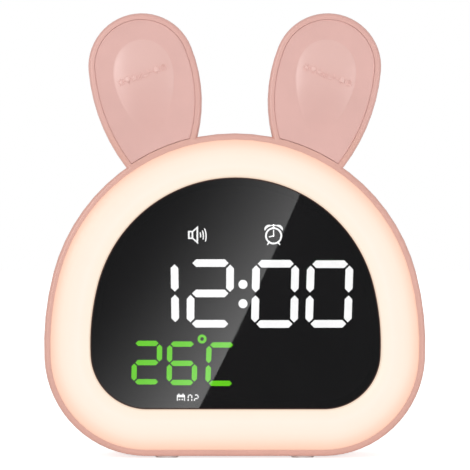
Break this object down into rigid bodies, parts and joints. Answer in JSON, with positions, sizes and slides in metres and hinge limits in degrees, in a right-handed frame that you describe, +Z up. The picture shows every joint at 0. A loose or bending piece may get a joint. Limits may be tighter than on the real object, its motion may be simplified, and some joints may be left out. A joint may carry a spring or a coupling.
{
  "type": "alarm clock",
  "caption": "Child's bedside alarm clock with a glowing night light ring round a dark display and two ears that work as push keys.",
  "frame": {"origin": "middle of the base, on the table under the rubber feet", "axes": "+X to the right seen from the front, +Y towards the back, +Z up; the display faces -Y"},
  "size_m": [0.1402, 0.05, 0.1636],
  "materials": {
    "shell": "satin moulded shell",
    "key": "satin moulded key",
    "milk": "translucent diffuser",
    "white_part": "matte white",
    "lens": "polished dark tint",
    "black_part": "matte black",
    "segment_white": "lit white",
    "segment_green": "lit green",
    "segment_off": "unlit smoke",
    "board": "solder mask",
    "chip": "epoxy",
    "led": "phosphor",
    "steel": "zinc plated",
    "magnet": "nickel plated",
    "cell_wrap": "shrink wrap",
    "rubber": "moulded",
    "tape": "foam tape",
    "wire_red": "insulation",
    "wire_black": "insulation",
    "wire_white": "insulation",
    "ribbon": "flat cable"
  },
  "bodies": {
    "clock": {"front_frame": "shell", "rear_housing": "shell", "light_diffuser": "milk", "light_reflector": "white_part", "led_ring_board": "white_part", "ring_leds": "led", "display_lens": "lens", "lens_adhesive": "tape", "display_housing": "black_part", "time_segments": "segment_white", "temperature_segments": "segment_green", "status_icons": "segment_white", "unlit_segments": "segment_off", "display_board": "board", "display_leds": "led", "display_board_screws": "steel", "ear_switch_left": "chip", "ear_switch_right": "chip", "ear_board_left": "board", "ear_board_right": "board", "ear_board_screws": "steel", "main_board": "board", "board_components": "chip", "main_board_screws": "steel", "button_switches": "chip", "battery_switch": "steel", "usb_socket": "steel", "usb_tongue": "black_part", "temperature_sensor": "black_part", "battery_cell": "cell_wrap", "battery_cradle": "black_part", "speaker_basket": "chip", "speaker_cone": "black_part", "speaker_magnet": "magnet", "speaker_gasket": "tape", "speaker_mesh": "black_part", "speaker_screws": "steel", "speaker_lead": "wire_red", "battery_lead": "wire_black", "ear_lead_left": "wire_white", "ear_lead_right": "wire_white", "display_ribbon": "ribbon", "housing_screws": "steel", "rubber_feet": "rubber"},
    "left_key": {"ear_key_left": "key", "ear_plunger_left": "black_part"},
    "right_key": {"ear_key_right": "key", "ear_plunger_right": "black_part"},
    "mode_key": {"mode_button": "key", "mode_plunger": "black_part"},
    "alarm_key": {"alarm_button": "key", "alarm_plunger": "black_part"},
    "up_key": {"up_button": "key", "up_plunger": "black_part"},
    "down_key": {"down_button": "key", "down_plunger": "black_part"},
    "switch_knob": {"battery_switch_knob": "black_part"}
  },
  "joints": [
    {"name": "left_key_press", "type": "slide", "parent": "clock", "child": "left_key", "axis": [0, 1, 0], "range_m": [0, 0.0005], "stiffness_N_per_m": 1500, "springref_m": -0.0003},
    {"name": "right_key_press", "type": "slide", "parent": "clock", "child": "right_key", "axis": [0, 1, 0], "range_m": [0, 0.0005], "stiffness_N_per_m": 1500, "springref_m": -0.0003},
    {"name": "mode_button_press", "type": "slide", "parent": "clock", "child": "mode_key", "axis": [0, -1, 0], "range_m": [0, 0.0005], "stiffness_N_per_m": 1500, "springref_m": -0.0003},
    {"name": "alarm_button_press", "type": "slide", "parent": "clock", "child": "alarm_key", "axis": [0, -1, 0], "range_m": [0, 0.0005], "stiffness_N_per_m": 1500, "springref_m": -0.0003},
    {"name": "up_button_press", "type": "slide", "parent": "clock", "child": "up_key", "axis": [0, -1, 0], "range_m": [0, 0.0005], "stiffness_N_per_m": 1500, "springref_m": -0.0003},
    {"name": "down_button_press", "type": "slide", "parent": "clock", "child": "down_key", "axis": [0, -1, 0], "range_m": [0, 0.0005], "stiffness_N_per_m": 1500, "springref_m": -0.0003},
    {"name": "battery_switch_slide", "type": "slide", "parent": "clock", "child": "switch_knob", "axis": [1, 0, 0], "range_m": [0, 0.003]}
  ]
}
